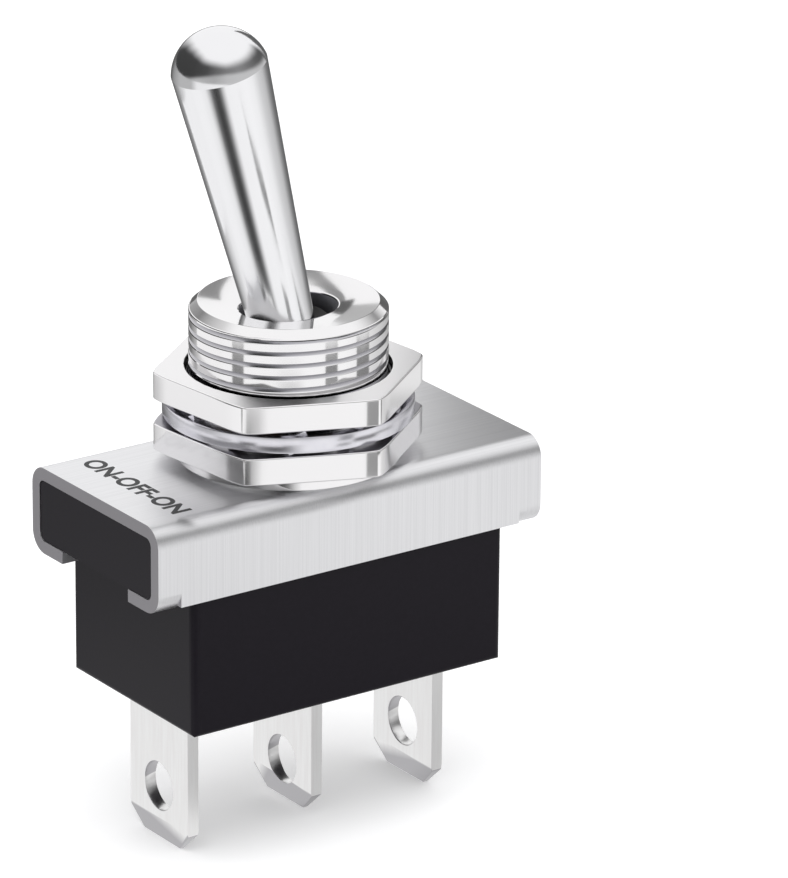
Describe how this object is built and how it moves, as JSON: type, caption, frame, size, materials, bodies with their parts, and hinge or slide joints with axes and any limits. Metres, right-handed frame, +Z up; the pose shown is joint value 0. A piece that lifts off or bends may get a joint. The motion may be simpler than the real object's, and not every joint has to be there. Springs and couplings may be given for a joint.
{
  "type": "panel toggle switch",
  "caption": "Bat-lever toggle switch with a threaded bushing, two nuts and a lock washer, a folded bracket, a moulded base and blade terminals.",
  "frame": {"origin": "where the bushing's axis meets the top face of the bracket", "axes": "+Z up along the bushing towards the lever; +X along the bracket, the way the lever swings; -Y is the long side that the picture shows"},
  "size_m": [0.0276, 0.0168, 0.0506],
  "materials": {
    "brushed_sheet": "nickel-plated steel sheet, brushed lengthways on top",
    "bright_nickel": "bright nickel-plated brass, turned",
    "zinc_washer": "zinc-plated spring steel, satin",
    "bright_chrome": "polished chrome plate",
    "plain_steel": "drawn steel",
    "turned_brass": "turned brass",
    "vulcan_fibre": "vulcanised fibre sheet",
    "black_phenolic": "black phenolic moulding, semi-matt",
    "tinned_blade": "tin-plated brass strip, satin",
    "silver_contact": "silver alloy rivet",
    "phosphor_bronze": "phosphor bronze strip"
  },
  "bodies": {
    "switch_body": {"bracket": "brushed_sheet", "bushing": "bright_nickel", "lower_nut": "bright_nickel", "lock_washer": "zinc_washer", "upper_nut": "bright_nickel", "insulating_plate": "vulcan_fibre", "base": "black_phenolic", "terminal_left": "tinned_blade", "terminal_centre": "tinned_blade", "terminal_right": "tinned_blade", "fixed_contact_left": "silver_contact", "fixed_contact_right": "silver_contact", "rocker_cradle": "phosphor_bronze", "cradle_rivet": "phosphor_bronze"},
    "lever": {"lever": "bright_chrome", "pivot_pin": "plain_steel", "plunger_spring": "plain_steel"},
    "plunger": {"plunger": "turned_brass"},
    "rocker": {"rocker": "phosphor_bronze", "moving_contact_left": "silver_contact", "moving_contact_right": "silver_contact"}
  },
  "joints": [
    {"name": "lever_tilt", "type": "hinge", "parent": "switch_body", "child": "lever", "pos_m": [0, 0, 0.0065], "axis": [0, 1, 0], "range_deg": [0, 30]},
    {"name": "plunger_slide", "type": "slide", "parent": "lever", "child": "plunger", "axis": [-0.2588, 0, 0.9659], "range_m": [0, 0.0008], "stiffness_N_per_m": 400, "deforming": ["plunger_spring"]},
    {"name": "rocker_tilt", "type": "hinge", "parent": "switch_body", "child": "rocker", "pos_m": [0, 0, -0.008], "axis": [0, 1, 0], "range_deg": [-12, 0]}
  ],
  "couplings": [
    {"joint": "rocker_tilt", "follows": "lever_tilt", "ratio": -0.4}
  ]
}
